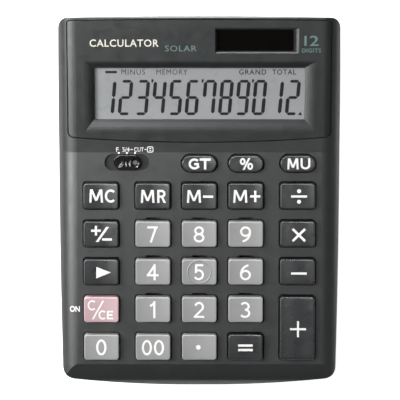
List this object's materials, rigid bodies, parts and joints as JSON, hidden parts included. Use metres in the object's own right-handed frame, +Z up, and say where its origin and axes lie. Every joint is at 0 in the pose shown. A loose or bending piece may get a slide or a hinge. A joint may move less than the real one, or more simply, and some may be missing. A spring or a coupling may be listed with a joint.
{
  "type": "desk calculator",
  "caption": "Desk calculator: low wedge case, tilted display behind a recessed window, solar cell, sprung rubber-dome keys in a grid and a small slide switch.",
  "frame": {"origin": "on the desk, under the middle of the case", "axes": "+X to the user's right, +Y to the rear and the display, +Z up"},
  "size_m": [0.1114, 0.1462, 0.0327],
  "materials": {
    "case_plastic": "fine grained dark grey ABS",
    "display_window": "clear flat acrylic",
    "lcd_glass": "grey reflective display",
    "reflector_film": "satin film",
    "black_plastic": "satin",
    "zinc_steel": "zinc plated",
    "ribbon_film": "amber polyester film",
    "solar_window": "smoked",
    "solar_cell": "dark amorphous silicon on glass",
    "red_insulation": "insulated wire",
    "black_insulation": "insulated wire",
    "circuit_board": "solder resist on board",
    "carbon_ink": "printed carbon",
    "black_epoxy": "epoxy",
    "capacitor_sleeve": "shrink sleeve",
    "silicone": "translucent silicone",
    "gloss_black": "polished",
    "contact_brass": "sprung strip",
    "cell_steel": "nickel plated",
    "black_steel": "blackened",
    "foot_rubber": "matt",
    "key_light": "satin mid grey",
    "key_dark": "satin dark grey",
    "key_pink": "satin pink"
  },
  "bodies": {
    "casing": {"top_case": "case_plastic", "bottom_case": "case_plastic", "display_panel": "case_plastic", "battery_door": "case_plastic", "display_window": "display_window", "lcd_glass": "lcd_glass", "lcd_reflector": "reflector_film", "lcd_holder": "black_plastic", "holder_screws": "zinc_steel", "lcd_ribbon": "ribbon_film", "solar_window": "solar_window", "solar_cell": "solar_cell", "solar_leads": "red_insulation", "main_board": "circuit_board", "board_screws": "zinc_steel", "key_contacts": "carbon_ink", "processor_blob": "black_epoxy", "capacitors": "capacitor_sleeve", "dome_sheet": "silicone", "battery_door_screw": "zinc_steel", "button_cell": "cell_steel", "battery_spring": "cell_steel", "battery_clip": "cell_steel", "battery_leads": "black_insulation", "case_screws": "black_steel", "rubber_feet": "foot_rubber"},
    "key_gt": {"key_gt": "key_dark"},
    "key_percent": {"key_percent": "key_dark"},
    "key_mu": {"key_mu": "key_dark"},
    "key_mc": {"key_mc": "key_dark"},
    "key_mr": {"key_mr": "key_dark"},
    "key_m_minus": {"key_m_minus": "key_dark"},
    "key_m_plus": {"key_m_plus": "key_dark"},
    "key_divide": {"key_divide": "key_dark"},
    "key_sign": {"key_sign": "key_dark"},
    "key_7": {"key_7": "key_light"},
    "key_8": {"key_8": "key_light"},
    "key_9": {"key_9": "key_light"},
    "key_multiply": {"key_multiply": "key_dark"},
    "key_backspace": {"key_backspace": "key_dark"},
    "key_4": {"key_4": "key_light"},
    "key_5": {"key_5": "key_light"},
    "key_6": {"key_6": "key_light"},
    "key_minus": {"key_minus": "key_dark"},
    "key_clear": {"key_clear": "key_pink"},
    "key_1": {"key_1": "key_light"},
    "key_2": {"key_2": "key_light"},
    "key_3": {"key_3": "key_light"},
    "key_plus": {"key_plus": "key_dark"},
    "key_0": {"key_0": "key_light"},
    "key_00": {"key_00": "key_light"},
    "key_decimal": {"key_decimal": "key_light"},
    "key_equals": {"key_equals": "key_dark"},
    "mode_slider": {"mode_slider": "gloss_black", "slider_wiper": "contact_brass"}
  },
  "joints": [
    {"name": "key_gt_press", "type": "slide", "parent": "casing", "child": "key_gt", "axis": [0, 0.1045, -0.9945], "range_m": [0, 0.0015], "stiffness_N_per_m": 350, "deforming": ["dome_sheet"]},
    {"name": "key_percent_press", "type": "slide", "parent": "casing", "child": "key_percent", "axis": [0, 0.1045, -0.9945], "range_m": [0, 0.0015], "stiffness_N_per_m": 350, "deforming": ["dome_sheet"]},
    {"name": "key_mu_press", "type": "slide", "parent": "casing", "child": "key_mu", "axis": [0, 0.1045, -0.9945], "range_m": [0, 0.0015], "stiffness_N_per_m": 350, "deforming": ["dome_sheet"]},
    {"name": "key_mc_press", "type": "slide", "parent": "casing", "child": "key_mc", "axis": [0, 0.1045, -0.9945], "range_m": [0, 0.0015], "stiffness_N_per_m": 350, "deforming": ["dome_sheet"]},
    {"name": "key_mr_press", "type": "slide", "parent": "casing", "child": "key_mr", "axis": [0, 0.1045, -0.9945], "range_m": [0, 0.0015], "stiffness_N_per_m": 350, "deforming": ["dome_sheet"]},
    {"name": "key_m_minus_press", "type": "slide", "parent": "casing", "child": "key_m_minus", "axis": [0, 0.1045, -0.9945], "range_m": [0, 0.0015], "stiffness_N_per_m": 350, "deforming": ["dome_sheet"]},
    {"name": "key_m_plus_press", "type": "slide", "parent": "casing", "child": "key_m_plus", "axis": [0, 0.1045, -0.9945], "range_m": [0, 0.0015], "stiffness_N_per_m": 350, "deforming": ["dome_sheet"]},
    {"name": "key_divide_press", "type": "slide", "parent": "casing", "child": "key_divide", "axis": [0, 0.1045, -0.9945], "range_m": [0, 0.0015], "stiffness_N_per_m": 350, "deforming": ["dome_sheet"]},
    {"name": "key_sign_press", "type": "slide", "parent": "casing", "child": "key_sign", "axis": [0, 0.1045, -0.9945], "range_m": [0, 0.0015], "stiffness_N_per_m": 350, "deforming": ["dome_sheet"]},
    {"name": "key_7_press", "type": "slide", "parent": "casing", "child": "key_7", "axis": [0, 0.1045, -0.9945], "range_m": [0, 0.0015], "stiffness_N_per_m": 350, "deforming": ["dome_sheet"]},
    {"name": "key_8_press", "type": "slide", "parent": "casing", "child": "key_8", "axis": [0, 0.1045, -0.9945], "range_m": [0, 0.0015], "stiffness_N_per_m": 350, "deforming": ["dome_sheet"]},
    {"name": "key_9_press", "type": "slide", "parent": "casing", "child": "key_9", "axis": [0, 0.1045, -0.9945], "range_m": [0, 0.0015], "stiffness_N_per_m": 350, "deforming": ["dome_sheet"]},
    {"name": "key_multiply_press", "type": "slide", "parent": "casing", "child": "key_multiply", "axis": [0, 0.1045, -0.9945], "range_m": [0, 0.0015], "stiffness_N_per_m": 350, "deforming": ["dome_sheet"]},
    {"name": "key_backspace_press", "type": "slide", "parent": "casing", "child": "key_backspace", "axis": [0, 0.1045, -0.9945], "range_m": [0, 0.0015], "stiffness_N_per_m": 350, "deforming": ["dome_sheet"]},
    {"name": "key_4_press", "type": "slide", "parent": "casing", "child": "key_4", "axis": [0, 0.1045, -0.9945], "range_m": [0, 0.0015], "stiffness_N_per_m": 350, "deforming": ["dome_sheet"]},
    {"name": "key_5_press", "type": "slide", "parent": "casing", "child": "key_5", "axis": [0, 0.1045, -0.9945], "range_m": [0, 0.0015], "stiffness_N_per_m": 350, "deforming": ["dome_sheet"]},
    {"name": "key_6_press", "type": "slide", "parent": "casing", "child": "key_6", "axis": [0, 0.1045, -0.9945], "range_m": [0, 0.0015], "stiffness_N_per_m": 350, "deforming": ["dome_sheet"]},
    {"name": "key_minus_press", "type": "slide", "parent": "casing", "child": "key_minus", "axis": [0, 0.1045, -0.9945], "range_m": [0, 0.0015], "stiffness_N_per_m": 350, "deforming": ["dome_sheet"]},
    {"name": "key_clear_press", "type": "slide", "parent": "casing", "child": "key_clear", "axis": [0, 0.1045, -0.9945], "range_m": [0, 0.0015], "stiffness_N_per_m": 350, "deforming": ["dome_sheet"]},
    {"name": "key_1_press", "type": "slide", "parent": "casing", "child": "key_1", "axis": [0, 0.1045, -0.9945], "range_m": [0, 0.0015], "stiffness_N_per_m": 350, "deforming": ["dome_sheet"]},
    {"name": "key_2_press", "type": "slide", "parent": "casing", "child": "key_2", "axis": [0, 0.1045, -0.9945], "range_m": [0, 0.0015], "stiffness_N_per_m": 350, "deforming": ["dome_sheet"]},
    {"name": "key_3_press", "type": "slide", "parent": "casing", "child": "key_3", "axis": [0, 0.1045, -0.9945], "range_m": [0, 0.0015], "stiffness_N_per_m": 350, "deforming": ["dome_sheet"]},
    {"name": "key_plus_press", "type": "slide", "parent": "casing", "child": "key_plus", "axis": [0, 0.1045, -0.9945], "range_m": [0, 0.0015], "stiffness_N_per_m": 350, "deforming": ["dome_sheet"]},
    {"name": "key_0_press", "type": "slide", "parent": "casing", "child": "key_0", "axis": [0, 0.1045, -0.9945], "range_m": [0, 0.0015], "stiffness_N_per_m": 350, "deforming": ["dome_sheet"]},
    {"name": "key_00_press", "type": "slide", "parent": "casing", "child": "key_00", "axis": [0, 0.1045, -0.9945], "range_m": [0, 0.0015], "stiffness_N_per_m": 350, "deforming": ["dome_sheet"]},
    {"name": "key_decimal_press", "type": "slide", "parent": "casing", "child": "key_decimal", "axis": [0, 0.1045, -0.9945], "range_m": [0, 0.0015], "stiffness_N_per_m": 350, "deforming": ["dome_sheet"]},
    {"name": "key_equals_press", "type": "slide", "parent": "casing", "child": "key_equals", "axis": [0, 0.1045, -0.9945], "range_m": [0, 0.0015], "stiffness_N_per_m": 350, "deforming": ["dome_sheet"]},
    {"name": "mode_switch_slide", "type": "slide", "parent": "casing", "child": "mode_slider", "axis": [1, 0, 0], "range_m": [-0.0032, 0.0032]}
  ]
}
